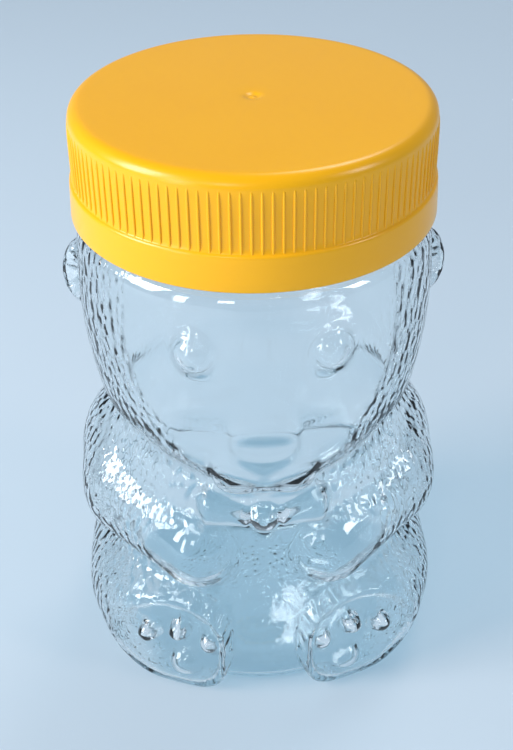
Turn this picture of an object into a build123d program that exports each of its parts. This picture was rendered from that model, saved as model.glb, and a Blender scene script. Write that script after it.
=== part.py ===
from build123d import *
import math
import os

import numpy as np

# Honey bear bottle: a blow-moulded clear jar in the form of a sitting bear, closed by a ribbed screw cap with a
# foam wad under its top. The origin is the middle of the base, the bear faces -Y and Z points up. Millimetres.

# Neck finish, which the body and the cap take their widths from
NECK_DIAMETER = 57.2
NECK_WALL = 2.0
LIP_CHAMFER = 0.5
SHOULDER_GAP = 1.0

# Body, with its reaches beyond the neck
SIDE_REACH = 7.4
FRONT_REACH = 2.9
SHOULDER_HEIGHT = 93.6
WALL = 1.0
HEEL_ROUND = 2.6
SHOULDER_ROUND = 3.0
PUSH_UP_DIAMETER = 38.0
PUSH_UP_TOP_DIAMETER = 14.0
PUSH_UP_RISE = 2.4

# Softness of the creases between the moulded forms
LIMB_CREASE = 1.6
FLESH_CREASE = 4.0
SNOUT_CREASE = 6.0
JAW_ROUND = 7.0
SOLE_ROUND = 2.5
INSTEP_ROUND = 4.0

# Small features that stand on the skin
EYE_RADIUS = 3.7
NOSE_WIDTH = 11.2
NOSE_DEPTH = 6.2
NOSE_HEIGHT = 8.8
MOUTH_RADIUS = 3.4
EAR_RADIUS = 7.6
EAR_THICKNESS = 5.6
EAR_CUP_RADIUS = 4.6
KNOT_RADIUS = 3.1
WING_LENGTH = 9.6
WING_ROOT_RADIUS = 1.8
WING_END_RADIUS = 3.6
HEEL_PAD_RADIUS = 4.6
TOE_PAD_RADIUS = 3.2

# Screw cap
THREAD_ROOM = 1.4
CAP_WALL = 1.5
CAP_HEIGHT = 19.3
CAP_TOP = 1.4
CAP_CORNER = 2.2
CORNER_FLATS = 4
BAND_REACH = 0.65
BAND_HEIGHT = 6.4
BAND_STEP = 0.32
BAND_CHAMFER = 0.3
RIB_DEPTH = 0.38
RIB_WIDTH = 0.9
RIB_TIP_WIDTH = 0.4
RIB_COUNT = 120
RIB_TOP_GAP = 2.3
GATE_DIAMETER = 2.6
GATE_DEPTH = 0.35

# Foam wad
WAD_THICKNESS = 1.0
WAD_CLEARANCE = 0.3

# How closely the two skins follow the form. The levels lie closer where feet, paws and chin turn quickly.
COLUMNS = 36
CAVITY_COLUMNS = 28
SOLVER_STEPS = 90
STEP_SHARE = 0.6
FRONT_CROWDING_SHARE = 0.4
LEVEL_SHARES = (
    *(0, 0.009, 0.027, 0.05, 0.08, 0.11, 0.135, 0.16, 0.18, 0.2, 0.22, 0.24, 0.26, 0.28, 0.305, 0.33, 0.36),
    *(0.39, 0.42, 0.45, 0.475, 0.5, 0.525, 0.55, 0.58, 0.62, 0.68, 0.74, 0.8, 0.86, 0.92, 0.968, 0.99, 1),
)

BODY_WIDTH = NECK_DIAMETER + 2 * SIDE_REACH
BODY_DEPTH = NECK_DIAMETER + 2 * FRONT_REACH
CAP_BORE_DIAMETER = NECK_DIAMETER + 2 * THREAD_ROOM
CAP_DIAMETER = CAP_BORE_DIAMETER + 2 * CAP_WALL
BAND_DIAMETER = CAP_DIAMETER + 2 * BAND_REACH

# The cap stands just above the shoulder, and its wad seals on the lip of the neck.
CAP_BOTTOM = SHOULDER_HEIGHT + SHOULDER_GAP
CAP_ROOF = CAP_BOTTOM + CAP_HEIGHT
LIP_HEIGHT = CAP_ROOF - CAP_TOP - WAD_THICKNESS
NECK_BORE_RADIUS = NECK_DIAMETER / 2 - NECK_WALL

# Shares of a form are of half the body's width, half its depth and the shoulder's height.
SPANS = np.array([BODY_WIDTH / 2, BODY_DEPTH / 2, SHOULDER_HEIGHT])


def soft_union(first, second, crease):
    """Joins two forms with a rounded crease."""
    mix = np.maximum(crease - np.abs(first - second), 0) / crease
    return np.minimum(first, second) - mix**2 * crease / 4


def soft_cut(first, second, crease):
    """Keeps what both forms share, with a rounded edge."""
    return -soft_union(-first, -second, crease)


def swelling(place, start_shares, end_shares, start_radii_shares, end_radii_shares):
    """How far places lie outside an ellipsoid that is swept from one centre to another."""
    start, end = SPANS * start_shares, SPANS * end_shares
    first_radii, last_radii = SPANS * start_radii_shares, SPANS * end_radii_shares
    along = end - start
    reach = np.zeros((len(place), 1))
    if along.any():
        reach = np.clip(((place - start) @ along) / (along @ along), 0, 1)[:, None]
    radii = first_radii + reach * (last_radii - first_radii)
    offset = (place - start - reach * along) / radii
    size = np.linalg.norm(offset, axis=1)
    return (size**2 - size) / np.linalg.norm(offset / radii, axis=1)


def ball(place, centre_shares, radii_shares):
    """How far places lie outside an ellipsoid."""
    return swelling(place, centre_shares, centre_shares, radii_shares, radii_shares)


def torso_form(place):
    """The trunk, whose belly shows between the paws and between the feet."""
    low_shares, high_shares = (0, 0, -0.1), (0, 0, 0.5)
    radii_shares = (0.82, 0.9, 0.2)
    return swelling(place, low_shares, high_shares, radii_shares, radii_shares)


def head_form(place):
    """A broad skull as wide as the cap, a chin that overhangs the chest and a low snout."""
    skull = ball(place, centre_shares=(0, 0, 0.855), radii_shares=(0.893, 1, 0.577))
    jaw_share = 0.572
    skull = soft_cut(skull, jaw_share * SHOULDER_HEIGHT - place[:, 2], JAW_ROUND)
    chin = ball(place, centre_shares=(0, -0.476, 0.623), radii_shares=(0.528, 0.502, 0.096))
    snout = swelling(
        place,
        start_shares=(0, -0.714, 0.876),
        end_shares=(0, -0.746, 0.641),
        start_radii_shares=(0.208, 0.238, 0.08),
        end_radii_shares=(0.25, 0.286, 0.096),
    )
    return soft_union(soft_union(skull, chin, FLESH_CREASE), snout, SNOUT_CREASE)


def arm_form(place):
    """An upper arm down the side and a forearm that lays its paw on the belly."""
    upper = ball(place, centre_shares=(0.61, 0.063, 0.417), radii_shares=(0.372, 0.54, 0.166))
    forearm = swelling(
        place,
        start_shares=(0.667, -0.286, 0.401),
        end_shares=(0.339, -0.756, 0.37),
        start_radii_shares=(0.292, 0.333, 0.123),
        end_radii_shares=(0.217, 0.248, 0.092),
    )
    return soft_union(upper, forearm, FLESH_CREASE)


def leg_form(place):
    """A thigh along the side and a foot whose flat sole faces forward."""
    thigh = ball(place, centre_shares=(0.511, -0.127, 0.128), radii_shares=(0.484, 0.794, 0.145))
    foot = swelling(
        place,
        start_shares=(0.528, -0.254, 0.124),
        end_shares=(0.489, -0.952, 0.124),
        start_radii_shares=(0.319, 0.365, 0.123),
        end_radii_shares=(0.333, 0.381, 0.128),
    )
    instep_share = 0.2
    foot = soft_cut(foot, SPANS[0] * instep_share - place[:, 0], INSTEP_ROUND)
    leg = soft_union(thigh, foot, FLESH_CREASE)
    sole_centre_shares = (0.486, -0.905, 0.118)
    sole_facing = np.array([0.36, -0.93, 0.05])
    leg = soft_cut(leg, (place - SPANS * sole_centre_shares) @ sole_facing, SOLE_ROUND)
    rump = ball(place, centre_shares=(0.278, 0.29, 0.128), radii_shares=(0.694, 0.76, 0.203))
    return soft_union(leg, rump, FLESH_CREASE)


def bear_form(place):
    """The whole moulded body, as the distance outside its skin. Its two sides are alike."""
    place = np.column_stack([np.abs(place[:, 0]), place[:, 1], place[:, 2]])
    limbs = soft_union(leg_form(place), arm_form(place), LIMB_CREASE)
    trunk = soft_union(torso_form(place), head_form(place), LIMB_CREASE)
    return soft_union(trunk, limbs, LIMB_CREASE)


def rounding(height, edge):
    """How far a rounded edge draws a section in, at a height above that edge's start."""
    rest = edge - min(max(height, 0), edge)
    return edge - math.sqrt(edge**2 - rest**2)


def section(height, inset, columns):
    """Points round a level section through the body's skin, drawn in by the inset, and their shares of a turn."""
    turns = np.arange(columns) / columns * 2 * math.pi
    turns = turns - math.pi / 2 - FRONT_CROWDING_SHARE * np.sin(turns)
    across, back = np.cos(turns), np.sin(turns)
    radius = np.full(columns, BODY_WIDTH)
    for _ in range(SOLVER_STEPS):
        place = np.column_stack([radius * across, radius * back, np.full(columns, height)])
        radius = radius - STEP_SHARE * (bear_form(place) + inset)
    radius = radius - rounding(height - inset, HEEL_ROUND - inset)
    radius = radius - rounding(SHOULDER_HEIGHT - inset - height, SHOULDER_ROUND - inset)
    points = [(float(r * c), float(r * s), height) for r, c, s in zip(radius, across, back)]
    return points, [float(turn - turns[0]) / (2 * math.pi) for turn in turns]


def outer_skin():
    """The body's outside, lofted through level sections from the base to the shoulder."""
    wires = []
    for level_share in LEVEL_SHARES:
        points, turn_shares = section(level_share * SHOULDER_HEIGHT, 0, COLUMNS)
        wires.append(Wire([Edge.make_spline(points, periodic=True, parameters=turn_shares + [1])]))
    return Solid.make_loft(wires, ruled=True)


def cavity_skin():
    """The inside of the body's wall, which nobody sees up close, in flat facets."""
    inside_height = SHOULDER_HEIGHT - 2 * WALL
    rows = [section(WALL + share * inside_height, WALL, CAVITY_COLUMNS)[0] for share in LEVEL_SHARES]
    faces = [Face(Wire.make_polygon(row, close=True)) for row in (rows[0], rows[-1])]
    for low, high in zip(rows, rows[1:]):
        for first in range(-1, CAVITY_COLUMNS - 1):
            corners = low[first], low[first + 1], high[first + 1], high[first]
            faces.append(Face(Wire.make_polygon(corners[:3], close=True)))
            faces.append(Face(Wire.make_polygon((corners[0], *corners[2:]), close=True)))
    return Solid(Shell(faces))


def placed(solid, centre_shares):
    """The solid moved to a place on the body."""
    return Pos(*(SPANS * centre_shares)) * solid


def both_sides(solid):
    """The solid and its mirror image across the middle."""
    return [solid, mirror(solid, about=Plane.YZ)]


def face_features():
    """Domed eyes, a nose, a parted mouth and cupped ears."""
    eye = placed(Sphere(EYE_RADIUS), centre_shares=(0.306, -0.889, 0.873))
    nose = scale(Sphere(1), by=(NOSE_WIDTH / 2, NOSE_DEPTH / 2, NOSE_HEIGHT / 2))
    nose = placed(nose, centre_shares=(0, -0.955, 0.662))
    mouth = placed(Sphere(MOUTH_RADIUS), centre_shares=(0.106, -0.927, 0.598))
    ear = Sphere(EAR_RADIUS) & Box(2 * EAR_RADIUS, EAR_THICKNESS, 2 * EAR_RADIUS)
    ear = placed(ear, centre_shares=(0.77, 0.05, 0.858))
    ear_cup = placed(Sphere(EAR_CUP_RADIUS), centre_shares=(0.83, -0.14, 0.858))
    return [nose, *both_sides(eye), *both_sides(mouth), *both_sides(ear - ear_cup)]


def bow_tie():
    """A knot with a flared wing on either side, which follows the chest round."""
    knot = placed(Sphere(KNOT_RADIUS), centre_shares=(0, -0.9, 0.481))
    wing = Cone(WING_ROOT_RADIUS, WING_END_RADIUS, WING_LENGTH, align=(Align.CENTER, Align.CENTER, Align.MIN))
    wing = placed(Rot(0, 0, 18) * Rot(0, 90, 0) * wing, centre_shares=(0.05, -0.9, 0.487))
    return [knot, *both_sides(wing)]


def sole_pads():
    """A heel pad and three toe pads, which stand a little out of each sole."""
    pads = [placed(Sphere(HEEL_PAD_RADIUS), centre_shares=(0.394, -0.827, 0.073))]
    for toe_shares in ((0.275, -0.91, 0.149), (0.445, -0.83, 0.174), (0.614, -0.76, 0.149)):
        pads.append(placed(Sphere(TOE_PAD_RADIUS), toe_shares))
    return [side for pad in pads for side in both_sides(pad)]


def bear_jar():
    """The blown body with its moulded neck, its cavity and the push-up in its base."""
    neck_foot = SHOULDER_HEIGHT - WALL
    level = (Align.CENTER, Align.CENTER, Align.MIN)
    neck = Pos(0, 0, neck_foot) * Cylinder(NECK_DIAMETER / 2, LIP_HEIGHT - neck_foot, align=level)
    push_up = Cone(PUSH_UP_DIAMETER / 2, PUSH_UP_TOP_DIAMETER / 2, PUSH_UP_RISE, align=level)
    bore_foot = neck_foot - WALL
    bore = Pos(0, 0, bore_foot) * Cylinder(NECK_BORE_RADIUS, CAP_ROOF - bore_foot, align=level)
    cavity = cavity_skin() - Pos(0, 0, WALL) * push_up + bore
    outside = outer_skin() + [neck, *face_features(), *bow_tie(), *sole_pads()]
    jar = outside - push_up - cavity
    lip = jar.edges().filter_by(GeomType.CIRCLE).group_by(Axis.Z)[-1]
    return chamfer(lip, LIP_CHAMFER)


def screw_cap():
    """A moulded shell with a ring of grip ribs over a smooth band, and the gate mark on its top."""
    root = CAP_DIAMETER / 2 - RIB_DEPTH
    bore = CAP_BORE_DIAMETER / 2
    band_top = BAND_HEIGHT + BAND_CHAMFER
    roof = CAP_HEIGHT
    corner = []
    for flat in range(CORNER_FLATS + 1):
        lean = math.pi / 2 * flat / CORNER_FLATS
        corner.append((root - CAP_CORNER * (1 - math.sin(lean)), roof - CAP_CORNER * (1 - math.cos(lean))))
    outline = Polyline(
        (0, roof),
        *corner,
        (root, band_top),
        (CAP_DIAMETER / 2 + BAND_STEP - BAND_CHAMFER, band_top),
        (CAP_DIAMETER / 2 + BAND_STEP, band_top - BAND_CHAMFER),
        (BAND_DIAMETER / 2, 0),
        (bore, 0),
        (bore, roof - CAP_TOP),
        (0, roof - CAP_TOP),
        close=True,
    )
    shell = revolve(Plane.XZ * make_face(outline), Axis.Z)
    rib_top = roof - RIB_TOP_GAP
    rib_outline = Polyline(
        (root - RIB_DEPTH, -RIB_WIDTH / 2),
        (root, -RIB_WIDTH / 2),
        (CAP_DIAMETER / 2, -RIB_TIP_WIDTH / 2),
        (CAP_DIAMETER / 2, RIB_TIP_WIDTH / 2),
        (root, RIB_WIDTH / 2),
        (root - RIB_DEPTH, RIB_WIDTH / 2),
        close=True,
    )
    rib = Pos(0, 0, BAND_HEIGHT) * extrude(make_face(rib_outline), rib_top - BAND_HEIGHT)
    ribs = [Rot(0, 0, 360 * turn / RIB_COUNT) * rib for turn in range(RIB_COUNT)]
    gate_radius = ((GATE_DIAMETER / 2) ** 2 + GATE_DEPTH**2) / (2 * GATE_DEPTH)
    gate = Pos(0, 0, roof + gate_radius - GATE_DEPTH) * Sphere(gate_radius)
    cap = shell + ribs - gate
    return Pos(0, 0, CAP_BOTTOM) * cap


def cap_liner():
    """A foam disc between the cap's roof and the lip of the neck."""
    radius = CAP_BORE_DIAMETER / 2 - WAD_CLEARANCE
    level = (Align.CENTER, Align.CENTER, Align.MIN)
    return Pos(0, 0, LIP_HEIGHT) * Cylinder(radius, WAD_THICKNESS, align=level)


os.makedirs("parts", exist_ok=True)
export_step(bear_jar(), "parts/bear_jar.step")
export_step(screw_cap(), "parts/screw_cap.step")
export_step(cap_liner(), "parts/cap_liner.step")
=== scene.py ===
import math

import bmesh
import bpy
import numpy as np
from mathutils import Matrix, Vector


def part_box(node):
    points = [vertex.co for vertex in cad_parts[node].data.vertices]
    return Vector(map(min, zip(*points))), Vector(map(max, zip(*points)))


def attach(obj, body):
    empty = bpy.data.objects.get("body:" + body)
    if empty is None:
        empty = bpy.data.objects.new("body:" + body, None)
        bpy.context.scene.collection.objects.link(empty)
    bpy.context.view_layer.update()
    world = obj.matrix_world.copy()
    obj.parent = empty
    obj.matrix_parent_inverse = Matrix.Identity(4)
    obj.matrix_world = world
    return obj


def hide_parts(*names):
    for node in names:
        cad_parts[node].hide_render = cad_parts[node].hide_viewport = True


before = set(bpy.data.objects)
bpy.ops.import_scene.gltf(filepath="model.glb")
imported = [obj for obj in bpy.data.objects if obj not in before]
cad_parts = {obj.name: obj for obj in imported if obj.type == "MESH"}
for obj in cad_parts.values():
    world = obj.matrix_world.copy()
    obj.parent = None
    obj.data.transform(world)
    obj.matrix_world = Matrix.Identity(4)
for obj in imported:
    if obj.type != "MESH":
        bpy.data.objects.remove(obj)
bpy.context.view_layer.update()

# The bear jar is one wall of clear PET, blown from a preform into a two-part mould. The mould's fur is a
# hammered texture, and the eyes, snout, bow tie, soles and paw tips were polished. Thread and lip are the
# preform's own.
BODY_WIDTH = 0.072
BODY_DEPTH = 0.063
SHOULDER_HEIGHT = 0.0936
JAR_WALL = 0.0008
HEEL_ROUND = 0.0026
SHOULDER_ROUND = 0.003
PUSH_UP_RADIUS = 0.019
PUSH_UP_RISE = 0.0024
NECK_RADIUS = 0.0286
NECK_BORE_RADIUS = 0.0266
LIP_HEIGHT = float(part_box("bear_jar")[1][2])
LIP_ROUND = 0.0005
LIMB_CREASE = 0.0016
FLESH_CREASE = 0.004
SNOUT_CREASE = 0.006
JAW_ROUND = 0.007
SOLE_ROUND = 0.0018
INSTEP_ROUND = 0.0025
SOLE_RIM = 0.0022
SOLE_RECESS = 0.0007
FINE_CREASE = 0.0007
INNER_CREASE = 0.002
LIP_CREASE = 0.0005
BACK_SOFTNESS = 0.0025
THREAD_LEAD = 0.0084
THREAD_STARTS = 2
THREAD_REACH = 0.00105
THREAD_WIDTH = 0.0022
THREAD_SLOPE = 0.0007
THREAD_SWEEP = math.radians(290)
THREAD_FADE = math.radians(16)
NECK_THREAD_START = 0.0982
JAR_COLUMNS = 320
FRONT_CROWDING = 0.3
SIDE_ROWS = 165
INNER_ROWS = 58
NECK_ROWS = 34
LIP_ROWS = 5
SPANS = np.array([BODY_WIDTH / 2, BODY_DEPTH / 2, SHOULDER_HEIGHT])

# The values above are in metres. The bear's forms are in shares of half its width, half its depth and its
# shoulder height: a centre and radii, or for a swept form its two centres and the radii at each.
SKULL = (0, 0, 0.855), (0.893, 1, 0.577)
JAW_HEIGHT = 0.572
CHIN = (0, -0.476, 0.623), (0.528, 0.502, 0.096)
SNOUT = (0, -0.714, 0.876), (0, -0.746, 0.641), (0.208, 0.238, 0.08), (0.25, 0.286, 0.096)
EYE = (0.306, -0.889, 0.873), (0.105, 0.118, 0.041)
SOCKET = (0.3625, -1.0, 0.868), (0.165, 0.088, 0.068)
NOSE = (0, -0.88, 0.77), (0, -0.965, 0.687), (0.14, 0.09, 0.047), (0.162, 0.105, 0.05)
LIP_LOBE = (0.115, -0.945, 0.597), (0.135, 0.102, 0.034)
EAR = (0.847, 0.048, 0.858), (0.133, 0.095, 0.077)
EAR_CUP = (0.91, -0.06, 0.858), (0.07, 0.1, 0.05)
UPPER_ARM = (0.61, 0.063, 0.417), (0.372, 0.54, 0.166)
FOREARM = (0.667, -0.286, 0.401), (0.339, -0.756, 0.37), (0.292, 0.333, 0.123), (0.217, 0.248, 0.092)
PAW_GROOVES = [
    ((0.13, -0.98, inner), (0.33, -1.04, outer), (0.02, 0.035, 0.006), (0.015, 0.03, 0.004))
    for inner, outer in ((0.395, 0.39), (0.365, 0.355), (0.335, 0.32))
]
THIGH = (0.511, -0.127, 0.128), (0.484, 0.794, 0.145)
FOOT = (0.528, -0.254, 0.124), (0.489, -0.952, 0.124), (0.319, 0.365, 0.123), (0.333, 0.381, 0.128)
FOOT_INSIDE = 0.2
SOLE_MIDDLE = (0.486, -0.905, 0.118)
SOLE_FACING = np.array([0.36, -0.93, 0.05])
HEEL_PAD = (0.43, -0.9, 0.075), (0.095, 0.07, 0.032)
TOE_RADII = (0.055, 0.055, 0.021)
TOES = (0.3, -0.965, 0.15), (0.47, -0.915, 0.175), (0.64, -0.84, 0.15)
RUMP = (0.278, 0.29, 0.128), (0.694, 0.76, 0.203)
TORSO = (0, 0, -0.1), (0, 0, 0.5), (0.82, 0.9, 0.2), (0.82, 0.9, 0.2)
KNOT = (0, -0.905, 0.481), (0.085, 0.1, 0.031)
BOW_WING = (0.1, -0.875, 0.483), (0.27, -0.83, 0.49), (0.05, 0.1, 0.02), (0.07, 0.115, 0.038)
PLEATS = 9
PLEAT_FADE = 0.002, 0.006
PLEAT_REACH = 0.00022


def soft_union(first, second, crease):
    mix = np.maximum(crease - np.abs(first - second), 0) / crease
    return np.minimum(first, second) - mix**2 * crease / 4


def soft_cut(first, second, crease):
    return -soft_union(-first, -second, crease)


def swelling(place, start, end, first_radii, last_radii):
    """Distance outside an ellipsoid swept between two centres, all in shares of the body's spans."""
    start, end = SPANS * start, SPANS * end
    first_radii, last_radii = SPANS * first_radii, SPANS * last_radii
    along = end - start
    reach = np.zeros((len(place), 1))
    if along.any():
        reach = np.clip(((place - start) @ along) / (along @ along), 0, 1)[:, None]
    radii = first_radii + reach * (last_radii - first_radii)
    offset = (place - start - reach * along) / radii
    size = np.linalg.norm(offset, axis=1)
    return size * (size - 1) / np.linalg.norm(offset / radii, axis=1)


def ball(place, centre, radii):
    return swelling(place, centre, centre, radii, radii)


def rise(low, high, value):
    """A smooth step from 0 at low to 1 at high."""
    share = np.clip((value - low) / (high - low), 0, 1)
    return share * share * (3 - 2 * share)


def head_form(place, fine):
    """The head, with its eyes, nose and lips set on in creases of a fine width."""
    skull = soft_cut(ball(place, *SKULL), JAW_HEIGHT * SHOULDER_HEIGHT - place[:, 2], JAW_ROUND)
    head = soft_union(skull, ball(place, *CHIN), FLESH_CREASE)
    head = soft_union(head, swelling(place, *SNOUT), SNOUT_CREASE)
    head = soft_cut(head, -ball(place, *SOCKET), FINE_CREASE)
    head = soft_union(head, ball(place, *EYE), fine)
    head = soft_union(head, swelling(place, *NOSE), fine)
    head = soft_union(head, ball(place, *LIP_LOBE), fine + LIP_CREASE)
    ear = soft_cut(ball(place, *EAR), -ball(place, *EAR_CUP), FINE_CREASE)
    return soft_union(head, ear, FINE_CREASE)


def arm_form(place):
    """The arm, folded in front of the belly, with the grooves between its fingers."""
    arm = soft_union(ball(place, *UPPER_ARM), swelling(place, *FOREARM), FLESH_CREASE)
    for groove in PAW_GROOVES:
        arm = soft_cut(arm, -swelling(place, *groove), FINE_CREASE)
    return arm


def above_sole(place):
    """Height over the flat of the sole, outwards."""
    return (place - SPANS * SOLE_MIDDLE) @ SOLE_FACING


def leg_form(place, fine):
    """The leg and rump, with the sole cut flat and sunk a little inside its rim, and its pads."""
    foot = soft_cut(swelling(place, *FOOT), FOOT_INSIDE * SPANS[0] - place[:, 0], INSTEP_ROUND)
    leg = soft_union(ball(place, *THIGH), foot, FLESH_CREASE)
    inside = rise(SOLE_RIM / 2, SOLE_RIM, -leg) * rise(0, SOLE_RIM, place[:, 2] - SOLE_RIM)
    leg = soft_cut(leg, above_sole(place) + SOLE_RECESS * inside, SOLE_ROUND)
    leg = soft_union(leg, ball(place, *HEEL_PAD), fine)
    for toe in TOES:
        leg = soft_union(leg, ball(place, toe, TOE_RADII), fine)
    return soft_union(leg, ball(place, *RUMP), FLESH_CREASE)


def bow_form(place, fine):
    """The bow tie: a knot, and a wing with pleats that fan out from it."""
    climb = np.arctan2(place[:, 2] - SPANS[2] * KNOT[0][2], place[:, 0] + FINE_CREASE)
    pleats = PLEAT_REACH * np.cos(PLEATS * climb) * rise(*PLEAT_FADE, place[:, 0])
    return soft_union(ball(place, *KNOT), swelling(place, *BOW_WING) + pleats, fine)


def bear_form(place, fine):
    """Distance outside the bear's skin. Its finest creases are rounder inside the wall than outside."""
    place = np.column_stack([np.abs(place[:, 0]), place[:, 1], place[:, 2]])
    crease = LIMB_CREASE + BACK_SOFTNESS * rise(0, 0.02, place[:, 1])
    limbs = soft_union(leg_form(place, fine), arm_form(place), crease)
    trunk = soft_union(swelling(place, *TORSO), head_form(place, fine), crease)
    return soft_union(soft_union(trunk, limbs, crease), bow_form(place, fine), fine)


# The columns of the wall stand closer together at the front, where the face is.
turns = np.arange(JAR_COLUMNS) / JAR_COLUMNS * 2 * math.pi
turns = turns - math.pi / 2 - FRONT_CROWDING * np.sin(turns)
ACROSS, BACK = np.cos(turns), np.sin(turns)


def arc(radius_middle, height_middle, round_radius, start, end, count):
    """Radius and height pairs along an arc, by angles in degrees."""
    angles = np.radians(np.linspace(start, end, count))
    radii = radius_middle + round_radius * np.cos(angles)
    return list(zip(radii, height_middle + round_radius * np.sin(angles)))


def edge_draw(height, edge):
    """How far a rounded edge draws a wall in, at a height above the edge's start."""
    return edge - math.sqrt(edge**2 - (edge - height) ** 2) if height < edge else 0


FIRST_GUESS = 0.6
SETTLING_ROUNDS = 45
SETTLING_STEP = 0.7


def body_rows(heights, inset, fine):
    """Radii of the body's skin at each height, drawn in by the inset and found in steps inwards."""
    level = np.repeat(heights, JAR_COLUMNS)
    across, back = np.tile(ACROSS, len(heights)), np.tile(BACK, len(heights))
    radius = np.full(len(level), BODY_WIDTH * FIRST_GUESS)
    for _ in range(SETTLING_ROUNDS):
        place = np.column_stack([radius * across, radius * back, level])
        radius -= SETTLING_STEP * (bear_form(place, fine) + inset)
    rows = radius.reshape(len(heights), JAR_COLUMNS)
    for row, height in zip(rows, heights):
        row -= edge_draw(height - inset, HEEL_ROUND - inset)
        row -= edge_draw(SHOULDER_HEIGHT - inset - height, SHOULDER_ROUND - inset)
    return rows


def thread_reach(height, start_height):
    """How far a screw thread stands out at each column, at a height on a neck or cap wall."""
    reach = np.zeros(JAR_COLUMNS)
    for start in range(THREAD_STARTS):
        swept = (turns - turns[0] - start * 2 * math.pi / THREAD_STARTS) % (2 * math.pi)
        away = np.abs(height - start_height - THREAD_LEAD * swept / (2 * math.pi))
        ends = rise(0, THREAD_FADE, swept) * rise(0, THREAD_FADE, THREAD_SWEEP - swept)
        reach = np.maximum(reach, ends * (1 - rise(THREAD_WIDTH / 2 - THREAD_SLOPE, THREAD_WIDTH / 2, away)))
    return THREAD_REACH * reach


def ring(radius, height):
    """One row of a wall's points, all at one height, from a radius or a row of radii."""
    radius = radius * np.ones(JAR_COLUMNS)
    return np.column_stack([radius * ACROSS, radius * BACK, np.full(JAR_COLUMNS, height)])


def dome_rows(wall, count):
    """Rows over the push-up in the base, from near its middle out to its rim."""
    sphere = (PUSH_UP_RADIUS**2 + PUSH_UP_RISE**2) / (2 * PUSH_UP_RISE)
    for step in range(1, count + 1):
        radius = PUSH_UP_RADIUS * step / count
        yield ring(radius, math.sqrt((sphere + wall) ** 2 - radius**2) - sphere + PUSH_UP_RISE)


def closed_wall(rows, first_pole, last_pole, name):
    """A mesh from rows of points that run from one pole to another."""
    columns = len(rows[0])
    points = np.vstack([[first_pole], *rows, [last_pole]])
    here = np.arange(columns)
    after = (here + 1) % columns
    faces = [(0, 1 + b, 1 + a) for a, b in zip(here, after)]
    for row in range(len(rows) - 1):
        low, high = 1 + row * columns, 1 + (row + 1) * columns
        faces += [(low + a, low + b, high + b, high + a) for a, b in zip(here, after)]
    last, end = 1 + (len(rows) - 1) * columns, len(points) - 1
    faces += [(last + a, last + b, end) for a, b in zip(here, after)]
    mesh = bpy.data.meshes.new(name)
    mesh.from_pydata(points.tolist(), [], faces)
    mesh.update()
    shell = bmesh.new()
    shell.from_mesh(mesh)
    bmesh.ops.recalc_face_normals(shell, faces=shell.faces)
    shell.to_mesh(mesh)
    shell.free()
    mesh.shade_smooth()
    return mesh


heel_heights = HEEL_ROUND * np.linspace(0, 1, 9)[:-1] ** 2
side_heights = np.linspace(HEEL_ROUND, SHOULDER_HEIGHT - SHOULDER_ROUND, SIDE_ROWS)
shoulder_heights = SHOULDER_HEIGHT - SHOULDER_ROUND * np.linspace(1, 0, 8)[1:] ** 2
outer_heights = np.concatenate([heel_heights, side_heights, shoulder_heights])
inner_shares = 0.5 - 0.5 * np.cos(np.linspace(0, math.pi, INNER_ROWS))
inner_heights = JAR_WALL + (SHOULDER_HEIGHT - 2 * JAR_WALL) * inner_shares
neck_foot = SHOULDER_HEIGHT + LIP_ROUND
lip_middle = LIP_HEIGHT - LIP_ROUND
neck_heights = np.linspace(neck_foot, lip_middle, NECK_ROWS)
outer_rows = body_rows(outer_heights, 0, FINE_CREASE / 2)
inner_rows = body_rows(inner_heights, JAR_WALL, INNER_CREASE)

# The rows of the wall run from the middle of the base, up the outside, over the lip and down the inside.
outer_rim = outer_rows[0] - PUSH_UP_RADIUS
inner_rim = inner_rows[0] - PUSH_UP_RADIUS
bore_heights = np.linspace(lip_middle, SHOULDER_HEIGHT - JAR_WALL, 6)[1:]
wall = list(dome_rows(0, 7))
wall += [ring(PUSH_UP_RADIUS + outer_rim * share, 0) for share in (0.25, 0.5, 0.75, 0.92)]
wall += [ring(row, height) for row, height in zip(outer_rows, outer_heights)]
outer_count = 1 + JAR_COLUMNS * len(wall)
wall += [ring(*pair) for pair in arc(NECK_RADIUS + LIP_ROUND, neck_foot, LIP_ROUND, -90, -180, LIP_ROWS)]
wall += [ring(NECK_RADIUS + thread_reach(height, NECK_THREAD_START), height) for height in neck_heights]
wall += [ring(*pair) for pair in arc(NECK_RADIUS - LIP_ROUND, lip_middle, LIP_ROUND, 0, 90, LIP_ROWS)]
wall += [ring(*pair) for pair in arc(NECK_BORE_RADIUS + LIP_ROUND, lip_middle, LIP_ROUND, 90, 180, LIP_ROWS)]
wall += [ring(NECK_BORE_RADIUS, height) for height in bore_heights]
wall += [ring(row, height) for row, height in zip(inner_rows[::-1], inner_heights[::-1])]
wall += [ring(PUSH_UP_RADIUS + inner_rim * share, JAR_WALL) for share in (0.66, 0.33)]
wall += list(dome_rows(JAR_WALL, 5))[::-1]
jar_mesh = closed_wall(wall, (0, 0, PUSH_UP_RISE), (0, 0, PUSH_UP_RISE + JAR_WALL), "bear_jar_wall")
jar = bpy.data.objects.new("bear_jar_wall", jar_mesh)
bpy.context.collection.objects.link(jar)

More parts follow.
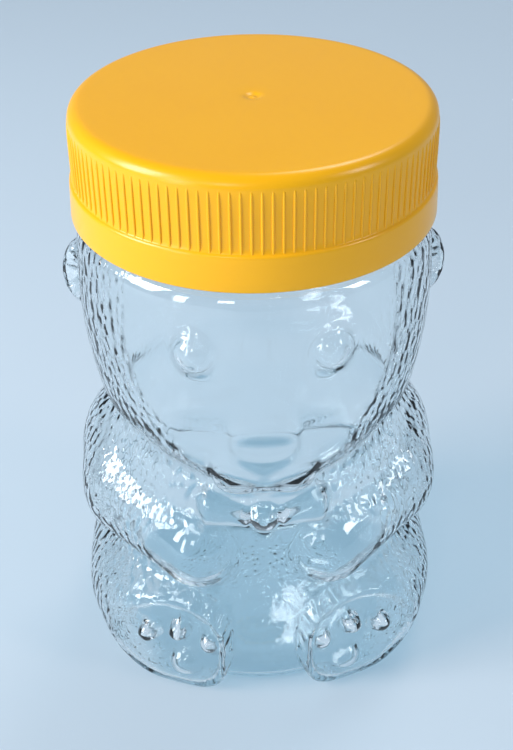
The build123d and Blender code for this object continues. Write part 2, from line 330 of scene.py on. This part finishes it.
# The fur mask is 1 where the mould was hammered, and fades to 0 on every polished place and on the inner
# skin. Each polished place has a centre and the distances at which the fur starts and is full.
POLISHED_SNOUT = (0, -0.93, 0.61), 0.0095, 0.012
POLISHED_BOW = (0.16, -0.9, 0.485), 0.006, 0.0075
POLISHED_PAW = (0.12, -0.95, 0.37), 0.005, 0.007
POLISHED_SOCKET = SOCKET[0], 0.0058, 0.0072
BRIDGE_HALF = 0.0055, 0.0075
BRIDGE_FOOT = 0.055, 0.06
BELLY_HALF = 0.006, 0.009
BELLY_TOP = 0.05, 0.055
BELLY_POLISH = 0.85
SOLE_FADE = 0.0003, 0.0012
BACK_FADE = 0.004, 0.016
BACK_POLISH = 0.85
SHOULDER_FADE = 0.001
places = np.array([vertex.co for vertex in jar_mesh.vertices])
side = np.abs(places[:, 0])
mirrored = np.column_stack([side, places[:, 1], places[:, 2]])
front = rise(0, -0.01, places[:, 1])


def clear_of(centre, near, far):
    """0 within the near distance of a place on the front of the body, 1 beyond the far one."""
    away = np.linalg.norm((mirrored - SPANS * centre) * (1, 0.5, 1), axis=1)
    return rise(near, far, away)


fur = np.ones(len(places))
for centre, near, far in (POLISHED_SOCKET, POLISHED_SNOUT, POLISHED_BOW, POLISHED_PAW):
    fur *= clear_of(centre, near, far)
heights = places[:, 2]
fur *= 1 - front * (1 - rise(*BRIDGE_HALF, side)) * rise(*BRIDGE_FOOT, heights)
fur *= 1 - BELLY_POLISH * front * (1 - rise(*BELLY_HALF, side)) * (1 - rise(*BELLY_TOP, heights))
fur *= rise(*SOLE_FADE, -above_sole(mirrored))
fur *= 1 - rise(SHOULDER_HEIGHT - SHOULDER_FADE, SHOULDER_HEIGHT, heights)
fur *= 1 - BACK_POLISH * rise(*BACK_FADE, places[:, 1])
fur[outer_count:] = 0
jar_mesh.attributes.new("fur", "FLOAT", "POINT").data.foreach_set("value", fur)


def linear(code):
    """An sRGB hex colour as Blender's linear one."""
    parts = [int(code[i : i + 2], 16) / 255 for i in (1, 3, 5)]
    return [c / 12.92 if c <= 0.04045 else ((c + 0.055) / 1.055) ** 2.4 for c in parts] + [1]


def add_node(tree, kind, links=(), **settings):
    """A node with its sockets and properties set and its inputs linked, by name or by number."""
    node = tree.nodes.new(kind)
    for name, value in settings.items():
        if hasattr(node, name):
            setattr(node, name, value)
        else:
            node.inputs[name.replace("_", " ")].default_value = value
    for name, source in dict(links).items():
        tree.links.new(source, node.inputs[name])
    return node


def new_material(name):
    material = bpy.data.materials.new(name)
    material.use_nodes = True
    return material, material.node_tree, material.node_tree.nodes["Principled BSDF"]


# Blown PET is water clear and very smooth, with an IOR of 1.57. Hammer marks 1.2 mm across, drawn out
# downwards, break up the light. Rays from a lamp or a lit floor pass straight through, a little dimmed, as
# through a thin wall.
HAMMER_MARK = 0.0012
HAMMER_DEPTH = 0.0003
clear_pet, tree, pet = new_material("clear_blown_pet")
pet.inputs["Base Color"].default_value = linear("#F7FBFC")
pet.inputs["Roughness"].default_value = 0.02
pet.inputs["IOR"].default_value = 1.57
pet.inputs["Transmission Weight"].default_value = 1
jar_place = add_node(tree, "ShaderNodeTexCoord").outputs["Object"]
stretch = add_node(tree, "ShaderNodeMapping", {"Vector": jar_place}, Scale=(1, 1, 0.6))
marks = add_node(
    tree, "ShaderNodeTexVoronoi", {"Vector": stretch.outputs[0]}, feature="SMOOTH_F1", Scale=1 / HAMMER_MARK
)
fur_node = add_node(tree, "ShaderNodeAttribute", attribute_name="fur")
mark_and_fur = {0: marks.outputs["Distance"], 1: fur_node.outputs["Fac"]}
dent = add_node(tree, "ShaderNodeMath", mark_and_fur, operation="MULTIPLY")
hammered = add_node(tree, "ShaderNodeBump", {"Height": dent.outputs[0]}, Strength=1.0, Distance=HAMMER_DEPTH)
tree.links.new(hammered.outputs[0], pet.inputs["Normal"])
lamp_pass = add_node(tree, "ShaderNodeBsdfTransparent", Color=linear("#EAF3F6"))
light_path = add_node(tree, "ShaderNodeLightPath")
wall_look = pet
for ray in ("Is Diffuse Ray", "Is Shadow Ray"):
    shares = {0: light_path.outputs[ray], 1: wall_look.outputs[0], 2: lamp_pass.outputs[0]}
    wall_look = add_node(tree, "ShaderNodeMixShader", shares)
tree.links.new(wall_look.outputs[0], tree.nodes["Material Output"].inputs["Surface"])
jar_mesh.materials.append(clear_pet)
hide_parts("bear_jar")
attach(jar, "jar")

# The screw cap is one injection moulding of glossy yellow polypropylene: a ribbed grip over a smooth band,
# a two-start thread inside and, at the middle of its top, the mark of the gate where the plastic went in.
cap_low, cap_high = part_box("screw_cap")
CAP_FOOT = float(cap_low[2])
CAP_HEIGHT = float(cap_high[2]) - CAP_FOOT
GRIP_RADIUS = 0.0315
RIB_REACH = 0.00026
BAND_RADIUS = 0.03215
BAND_TOP_RADIUS = 0.0319
BAND_HEIGHT = 0.0064
BAND_ROUND = 0.0007
CAP_CORNER = 0.0022
CAP_ROOF = 0.0014
CAP_BORE_RADIUS = 0.03
CAP_FOOT_ROUND = 0.0003
CAP_THREAD_START = 0.0965
RIB_TOP_GAP = 0.0022
RIB_TOP_ROUND = 0.0009
RIB_COUNT = 120
ROOT_RADIUS = GRIP_RADIUS - RIB_REACH
GATE_DIP = 0.0001
GATE_MARK = (
    (0.0004, 0.00025),
    (0.0007, 0.00033),
    (0.001, 0.00028),
    (0.0014, 0.00012),
    (0.0018, 0.00003),
    (0.0024, 0),
)
GRIP_FOOT = BAND_HEIGHT + 0.0012
BAND_FILLET = (0.00004, 0.0007), (0.00015, 0.00035)
BAND_EDGE = BAND_HEIGHT + 0.0002

# The cap's outline as radius and height, from its middle over the top, down the side and round the foot.
outline = [(radius, CAP_HEIGHT - depth) for radius, depth in GATE_MARK]
outline += [(radius, CAP_HEIGHT) for radius in np.linspace(0.005, ROOT_RADIUS - CAP_CORNER - 0.0005, 6)]
outline += arc(ROOT_RADIUS - CAP_CORNER, CAP_HEIGHT - CAP_CORNER, CAP_CORNER, 90, 0, 10)
outline += [(ROOT_RADIUS, height) for height in np.linspace(CAP_HEIGHT - CAP_CORNER, GRIP_FOOT, 12)[1:]]
outline += [(ROOT_RADIUS + out, BAND_HEIGHT + up) for out, up in BAND_FILLET]
outline += arc(BAND_TOP_RADIUS - BAND_ROUND, BAND_EDGE - BAND_ROUND, BAND_ROUND, 70, 0, 6)
band_draft = BAND_RADIUS - BAND_TOP_RADIUS
outline += [(BAND_TOP_RADIUS + band_draft * share, BAND_HEIGHT * (1 - share)) for share in (0.4, 0.7)]
outline += arc(BAND_RADIUS - CAP_FOOT_ROUND, CAP_FOOT_ROUND, CAP_FOOT_ROUND, 0, -90, 5)
outline += arc(CAP_BORE_RADIUS + CAP_FOOT_ROUND, CAP_FOOT_ROUND, CAP_FOOT_ROUND, -90, -180, 5)
inside_heights = np.linspace(CAP_FOOT_ROUND, CAP_HEIGHT - CAP_ROOF, 44)[1:]
cap_rows = [ring(radius, CAP_FOOT + height) for radius, height in outline]
for height in CAP_FOOT + inside_heights:
    cap_rows.append(ring(CAP_BORE_RADIUS - thread_reach(height, CAP_THREAD_START), height))
cap_rows += [ring(radius, CAP_FOOT + CAP_HEIGHT - CAP_ROOF) for radius in (0.028, 0.02, 0.01)]
cap_top = CAP_FOOT + CAP_HEIGHT
cap_mesh = closed_wall(cap_rows, (0, 0, cap_top - GATE_DIP), (0, 0, cap_top - CAP_ROOF), "screw_cap_shell")
cap = bpy.data.objects.new("screw_cap_shell", cap_mesh)
bpy.context.collection.objects.link(cap)

# Each grip rib runs up from the band and turns in under the rounded corner of the top.
ribs = bpy.data.node_groups.new("grip_ribs", "GeometryNodeTree")
ribs.interface.new_socket("Geometry", in_out="INPUT", socket_type="NodeSocketGeometry")
for name in ("Grip Radius", "Foot", "Top", "Top Round", "Rib Reach"):
    ribs.interface.new_socket(name, in_out="INPUT", socket_type="NodeSocketFloat")
ribs.interface.new_socket("Count", in_out="INPUT", socket_type="NodeSocketInt")
ribs.interface.new_socket("Material", in_out="INPUT", socket_type="NodeSocketMaterial")
ribs.interface.new_socket("Geometry", in_out="OUTPUT", socket_type="NodeSocketGeometry")
given = add_node(ribs, "NodeGroupInput").outputs
turn_in = add_node(ribs, "ShaderNodeMath", {0: given["Top Round"]}, operation="MULTIPLY")
turn_in.inputs[1].default_value = 0.5
inner_end = add_node(
    ribs, "ShaderNodeMath", {0: given["Grip Radius"], 1: turn_in.outputs[0]}, operation="SUBTRACT"
)
bend = add_node(ribs, "ShaderNodeMath", {0: given["Top"], 1: given["Top Round"]}, operation="SUBTRACT")
path = add_node(ribs, "GeometryNodeCurvePrimitiveBezierSegment", Resolution=12)
for end, across, height in (
    ("Start", given["Grip Radius"], given["Foot"]),
    ("Start Handle", given["Grip Radius"], bend.outputs[0]),
    ("End Handle", given["Grip Radius"], given["Top"]),
    ("End", inner_end.outputs[0], given["Top"]),
):
    corner = add_node(ribs, "ShaderNodeCombineXYZ", {"X": across, "Z": height})
    ribs.links.new(corner.outputs[0], path.inputs[end])
section = add_node(ribs, "GeometryNodeCurvePrimitiveCircle", {"Radius": given["Rib Reach"]}, Resolution=8)
path_and_section = {"Curve": path.outputs[0], "Profile Curve": section.outputs[0]}
rib = add_node(ribs, "GeometryNodeCurveToMesh", path_and_section, Fill_Caps=True)
smooth_rib = add_node(ribs, "GeometryNodeSetShadeSmooth", {"Geometry": rib.outputs[0]})
points = add_node(ribs, "GeometryNodePoints", {"Count": given["Count"]})
step = add_node(ribs, "ShaderNodeMath", {1: given["Count"]}, operation="DIVIDE")
step.inputs[0].default_value = 2 * math.pi
number = add_node(ribs, "GeometryNodeInputIndex")
turn = add_node(ribs, "ShaderNodeMath", {0: number.outputs[0], 1: step.outputs[0]}, operation="MULTIPLY")
facing = add_node(ribs, "ShaderNodeCombineXYZ", {"Z": turn.outputs[0]})
spread = add_node(
    ribs,
    "GeometryNodeInstanceOnPoints",
    {"Points": points.outputs[0], "Instance": smooth_rib.outputs[0], "Rotation": facing.outputs[0]},
)
real = add_node(ribs, "GeometryNodeRealizeInstances", {"Geometry": spread.outputs[0]})
joined = add_node(ribs, "GeometryNodeJoinGeometry")
ribs.links.new(given["Geometry"], joined.inputs[0])
ribs.links.new(real.outputs[0], joined.inputs[0])
dressed = add_node(
    ribs, "GeometryNodeSetMaterial", {"Geometry": joined.outputs[0], "Material": given["Material"]}
)
add_node(ribs, "NodeGroupOutput", {"Geometry": dressed.outputs[0]})

# Injection-moulded polypropylene: an even warm yellow, glossy, with a very slight orange peel.
ORANGE_PEEL = 0.0009
TONE_CLOUD = 1 / 60
yellow_pp, tree, shader = new_material("yellow_moulded_polypropylene")
shader.inputs["Roughness"].default_value = 0.28
shader.inputs["IOR"].default_value = 1.49
cap_place = add_node(tree, "ShaderNodeTexCoord").outputs["Object"]
cloud = add_node(tree, "ShaderNodeTexNoise", {"Vector": cap_place}, Scale=1 / TONE_CLOUD, Detail=2)
tone = add_node(tree, "ShaderNodeMix", {"Factor": cloud.outputs["Fac"]}, data_type="RGBA")
for socket, colour in zip(tone.inputs[6:8], ("#FCB300", "#FFB905")):
    socket.default_value = linear(colour)
tree.links.new(tone.outputs[2], shader.inputs["Base Color"])
peel = add_node(tree, "ShaderNodeTexNoise", {"Vector": cap_place}, Scale=1 / ORANGE_PEEL, Detail=1)
peeled = add_node(tree, "ShaderNodeBump", {"Height": peel.outputs["Fac"]}, Strength=0.12, Distance=0.00005)
tree.links.new(peeled.outputs[0], shader.inputs["Normal"])

modifier = cap.modifiers.new("grip_ribs", "NODES")
modifier.node_group = ribs
sockets = {item.name: item.identifier for item in ribs.interface.items_tree if item.in_out == "INPUT"}
modifier[sockets["Grip Radius"]] = ROOT_RADIUS
modifier[sockets["Foot"]] = CAP_FOOT + BAND_HEIGHT
modifier[sockets["Top"]] = cap_top - RIB_TOP_GAP
modifier[sockets["Top Round"]] = RIB_TOP_ROUND
modifier[sockets["Rib Reach"]] = RIB_REACH
modifier[sockets["Count"]] = RIB_COUNT
modifier[sockets["Material"]] = yellow_pp
bpy.context.view_layer.update()
whole_cap = bpy.data.meshes.new_from_object(cap.evaluated_get(bpy.context.evaluated_depsgraph_get()))
cap.modifiers.remove(modifier)
cap.data = whole_cap
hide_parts("screw_cap")
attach(cap, "cap")

# The wad is a disc punched from a sheet of white expanded polyethylene foam, and it seals on the jar's lip.
# Foam cells 0.56 mm across make it matt and finely pitted.
FOAM_CELL = 0.001 / 1.8
foam, tree, shader = new_material("white_polyethylene_foam")
shader.inputs["Base Color"].default_value = linear("#F1F1EC")
shader.inputs["Roughness"].default_value = 0.75
foam_place = add_node(tree, "ShaderNodeTexCoord").outputs["Object"]
cells = add_node(tree, "ShaderNodeTexVoronoi", {"Vector": foam_place}, Scale=1 / FOAM_CELL)
pits = add_node(tree, "ShaderNodeBump", {"Height": cells.outputs["Distance"]}, Strength=0.4, Distance=0.0001)
tree.links.new(pits.outputs[0], shader.inputs["Normal"])
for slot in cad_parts["cap_liner"].material_slots:
    slot.material = foam

# A plain pale floor of paper that curves up into the backdrop. Far from the jar the camera sees both in one
# even tone, the same as that of the air beyond, so no view shows where the paper ends.
FLOOR_HALF = 1.6
BACKDROP_TOP = 2.2
FAR_START = 0.3
FAR_END = 0.6
FAR_TONE = "#B4C7D8"
COVE_START = 0.9
COVE_RADIUS = 0.5
sweep = [(-FLOOR_HALF, 0), (COVE_START, 0)]
sweep += arc(COVE_START, COVE_RADIUS, COVE_RADIUS, -84.27, 0, 14)
sweep += [(COVE_START + COVE_RADIUS, BACKDROP_TOP)]
corners = [(side * FLOOR_HALF, back, up) for back, up in sweep for side in (-1, 1)]
panels = [(2 * i, 2 * i + 1, 2 * i + 3, 2 * i + 2) for i in range(len(sweep) - 1)]
stage_mesh = bpy.data.meshes.new("floor_and_backdrop")
stage_mesh.from_pydata(corners, [], panels)
stage_mesh.shade_smooth()
stage = bpy.data.objects.new("floor_and_backdrop", stage_mesh)
bpy.context.collection.objects.link(stage)
paper, tree, shader = new_material("pale_backdrop_paper")
shader.inputs["Base Color"].default_value = linear("#C6D6E3")
shader.inputs["Roughness"].default_value = 0.8


def seen_share(tree):
    """1 for a ray from the camera, straight or through the jar's wall, and 0 for any other."""
    rays = add_node(tree, "ShaderNodeLightPath")
    either = {0: rays.outputs["Is Camera Ray"], 1: rays.outputs["Is Transmission Ray"]}
    return add_node(tree, "ShaderNodeMath", either, operation="MAXIMUM").outputs[0]


floor_place = add_node(tree, "ShaderNodeTexCoord").outputs["Object"]
away = add_node(tree, "ShaderNodeVectorMath", {"Vector": floor_place}, operation="LENGTH").outputs["Value"]
far = add_node(
    tree,
    "ShaderNodeMapRange",
    {"Value": away},
    interpolation_type="SMOOTHSTEP",
    From_Min=FAR_START,
    From_Max=FAR_END,
)
far_seen = add_node(
    tree, "ShaderNodeMath", {0: far.outputs["Result"], 1: seen_share(tree)}, operation="MULTIPLY"
)
even_tone = add_node(tree, "ShaderNodeEmission", Color=linear(FAR_TONE), Strength=1.0)
shares = {0: far_seen.outputs[0], 1: shader.outputs[0], 2: even_tone.outputs[0]}
near_or_far = add_node(tree, "ShaderNodeMixShader", shares)
tree.links.new(near_or_far.outputs[0], tree.nodes["Material Output"].inputs["Surface"])
stage_mesh.materials.append(paper)


# Five soft lamps stand round the jar, and a pale sky fills the shadows between them.
def softbox(name, place, target, width, height, watts):
    """A studio lamp behind a rectangular cloth, turned to face a target."""
    lamp = bpy.data.lights.new(name, "AREA")
    lamp.shape = "RECTANGLE"
    lamp.size, lamp.size_y, lamp.energy = width, height, watts
    holder = bpy.data.objects.new(name, lamp)
    bpy.context.collection.objects.link(holder)
    holder.location = place
    holder.rotation_euler = (Vector(place) - Vector(target)).to_track_quat("Z", "Y").to_euler()


softbox("key_softbox", (-0.76, -0.2, 0.48), (0, 0, 0.06), 0.35, 0.5, 8)
softbox("strip_softbox", (-0.55, -0.52, 0.24), (0, 0, 0.06), 0.1, 0.4, 1)
softbox("front_softbox", (-0.24, -0.66, 0.46), (0, 0, 0.06), 0.12, 0.16, 0.55)
softbox("fill_softbox", (0.65, -0.3, 0.45), (0, 0, 0.05), 0.16, 0.25, 1.3)
softbox("rim_softbox", (0.25, 0.45, 0.85), (0, 0, 0.06), 0.3, 0.3, 2)
world = bpy.data.worlds.new("studio_air")
world.use_nodes = True
air = world.node_tree
air.nodes["Background"].inputs["Color"].default_value = linear("#B9C7D6")
air.nodes["Background"].inputs["Strength"].default_value = 0.45
seen_air = add_node(air, "ShaderNodeBackground", Color=linear(FAR_TONE), Strength=1.0)
shares = {0: seen_share(air), 1: air.nodes["Background"].outputs[0], 2: seen_air.outputs[0]}
shown_air = add_node(air, "ShaderNodeMixShader", shares)
air.links.new(shown_air.outputs[0], air.nodes["World Output"].inputs["Surface"])
bpy.context.scene.world = world
bpy.context.scene.view_settings.view_transform = "Standard"

# The camera stands a little over 20 cm off and looks down on the cap, as in the photograph. Its angles are
# in degrees, and its sensor and lens in millimetres.
CAMERA_PLACE = (-0.0076, -0.1909, 0.1924)
CAMERA_PITCH = 35.46
CAMERA_HEADING = -2.3
CAMERA_ROLL = -0.7
SENSOR_WIDTH = 36
LENS = 57.6
NEAREST_SEEN = 0.01
camera_data = bpy.data.cameras.new("camera")
camera_data.sensor_width = SENSOR_WIDTH
camera_data.lens = LENS
camera_data.clip_start = NEAREST_SEEN
camera = bpy.data.objects.new("camera", camera_data)
bpy.context.collection.objects.link(camera)
stand = Matrix.Translation(CAMERA_PLACE)
for angle, axis in ((CAMERA_HEADING, "Z"), (90 - CAMERA_PITCH, "X"), (CAMERA_ROLL, "Z")):
    stand = stand @ Matrix.Rotation(math.radians(angle), 4, axis)
camera.matrix_world = stand
bpy.context.scene.camera = camera
